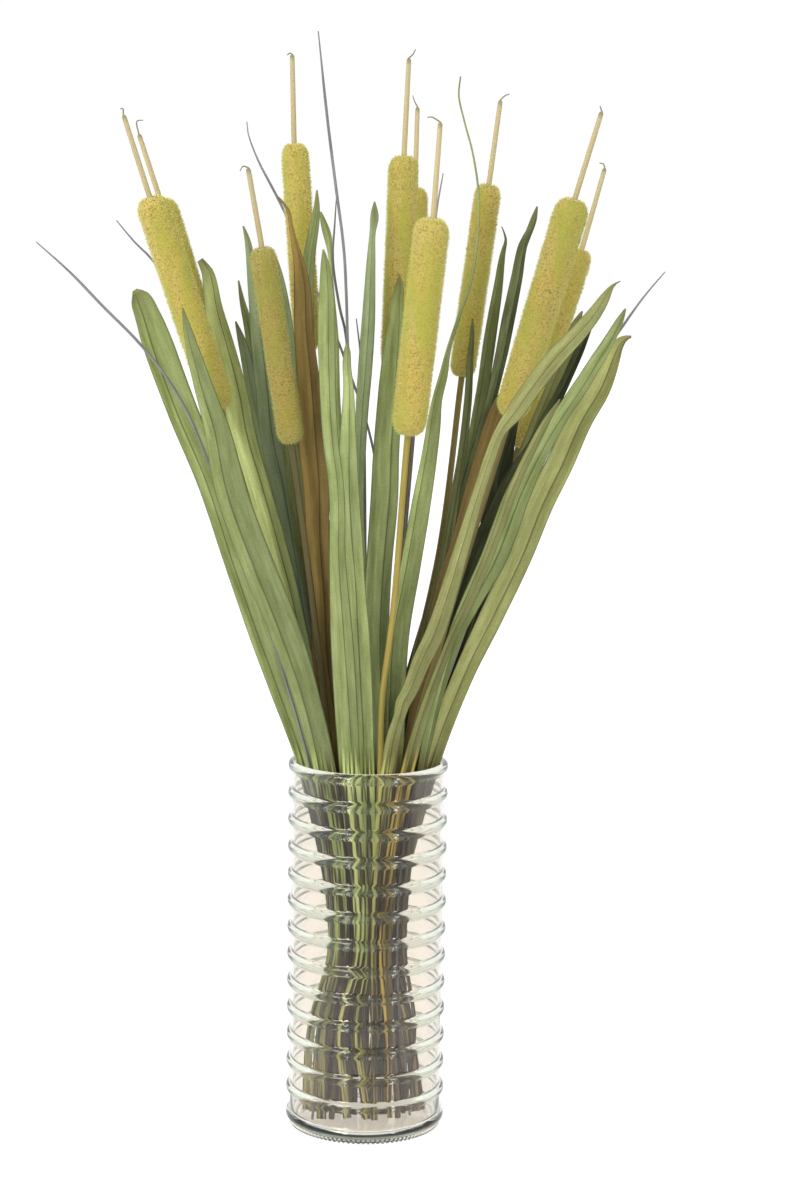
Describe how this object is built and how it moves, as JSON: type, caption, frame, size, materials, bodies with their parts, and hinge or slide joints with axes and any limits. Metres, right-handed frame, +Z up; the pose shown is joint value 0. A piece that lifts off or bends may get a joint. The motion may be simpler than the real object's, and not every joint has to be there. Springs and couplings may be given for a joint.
{
  "type": "cattail stems in vase",
  "caption": "Cattail stems with velvety heads, long blade leaves and thin strands, standing fanned out in a straight hooped glass vase.",
  "frame": {"origin": "centre of the vase's flat underside, on the surface it stands on", "axes": "+Z up along the vase's axis; -Y towards the viewer of the picture; +X to that viewer's right"},
  "size_m": [0.4057, 0.2278, 0.7431],
  "materials": {
    "glass": "clear, faintly green, polished",
    "head": "short velvety nap",
    "stalk": "dry, matte",
    "strand": "dry, matte",
    "green": "dry leaf, matte",
    "olive": "dry leaf, matte",
    "blue": "dry leaf, matte",
    "pale": "dry leaf, matte",
    "brown": "dry leaf, matte",
    "dark": "dry leaf, matte"
  },
  "bodies": {
    "root": {"Vase": "glass", "Cattail_01_Stem": "stalk", "Cattail_01_Head": "head", "Cattail_02_Stem": "stalk", "Cattail_02_Head": "head", "Cattail_03_Stem": "stalk", "Cattail_03_Head": "head", "Cattail_04_Stem": "stalk", "Cattail_04_Head": "head", "Cattail_05_Stem": "stalk", "Cattail_05_Head": "head", "Cattail_06_Stem": "stalk", "Cattail_06_Head": "head", "Cattail_07_Stem": "stalk", "Cattail_07_Head": "head", "Cattail_08_Stem": "stalk", "Cattail_08_Head": "head", "Cattail_09_Stem": "stalk", "Cattail_09_Head": "head", "Cattail_10_Stem": "stalk", "Cattail_10_Head": "head", "Leaf_01": "green", "Leaf_02": "green", "Leaf_03": "olive", "Leaf_04": "blue", "Leaf_05": "green", "Leaf_06": "blue", "Leaf_07": "olive", "Leaf_08": "blue", "Leaf_09": "brown", "Leaf_10": "green", "Leaf_11": "green", "Leaf_12": "green", "Leaf_13": "green", "Leaf_14": "blue", "Leaf_15": "green", "Leaf_16": "green", "Leaf_17": "olive", "Leaf_18": "green", "Leaf_19": "dark", "Leaf_20": "brown", "Leaf_21": "pale", "Leaf_22": "pale", "Leaf_23": "dark", "Leaf_24": "green", "Leaf_25": "pale", "Leaf_26": "pale", "Leaf_27": "dark", "Strand_01": "strand", "Strand_02": "strand", "Strand_03": "strand", "Strand_04": "strand", "Strand_05": "strand", "Strand_06": "strand", "Strand_07": "strand", "Strand_08": "strand"}
  },
  "joints": []
}
